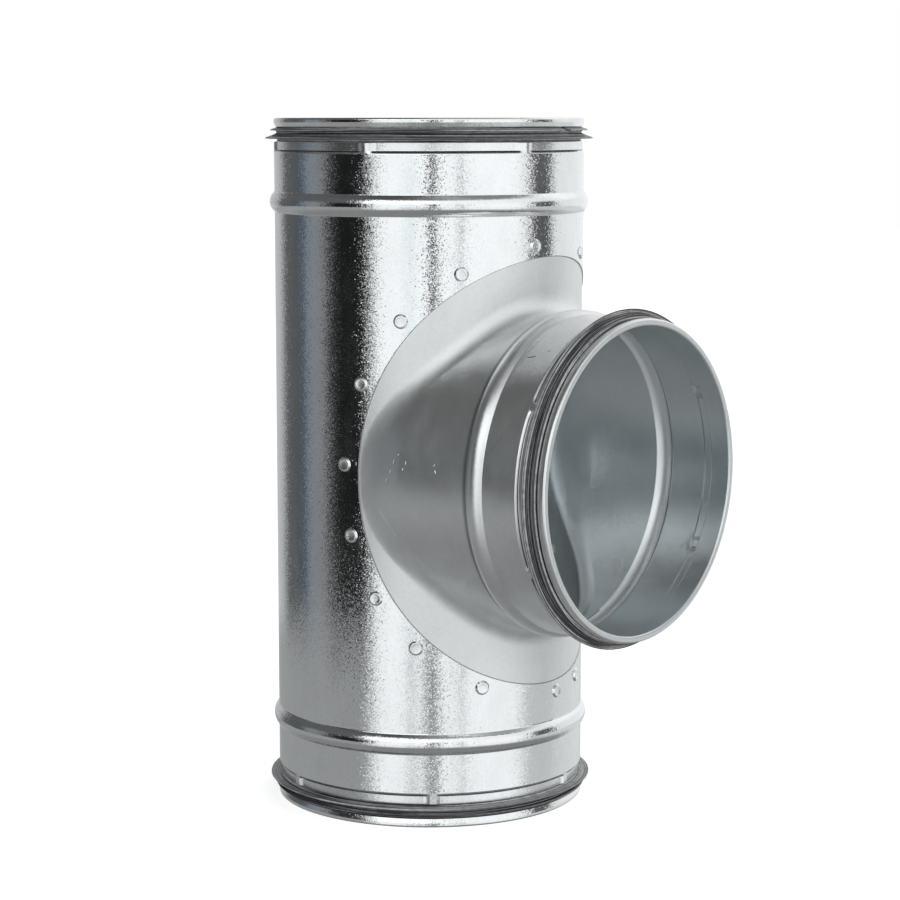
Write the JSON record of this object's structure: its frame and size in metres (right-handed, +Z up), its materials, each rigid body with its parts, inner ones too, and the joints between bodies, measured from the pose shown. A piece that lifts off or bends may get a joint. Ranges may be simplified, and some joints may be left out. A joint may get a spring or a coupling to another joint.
{
  "type": "spiral duct tee",
  "caption": "Galvanised sheet-steel tee for round spiral ducts: a straight run with a pressed saddle branch of the same size, and lipped rubber gaskets folded into the rims.",
  "frame": {"origin": "on the run's axis, in the plane of its lower rim", "axes": "+Z up the run towards its upper rim, +X along the branch towards its mouth"},
  "size_m": [0.2203, 0.1678, 0.352],
  "materials": {
    "run_sheet": "bright galvanised zinc with a fine spangle",
    "saddle_sheet": "satin galvanised zinc, stretched and matted by pressing",
    "gasket_rubber": "matt dark grey rubber"
  },
  "bodies": {
    "root": {"run_tube": "run_sheet", "branch_saddle": "saddle_sheet", "upper_gasket": "gasket_rubber", "lower_gasket": "gasket_rubber", "branch_gasket": "gasket_rubber"}
  },
  "joints": []
}
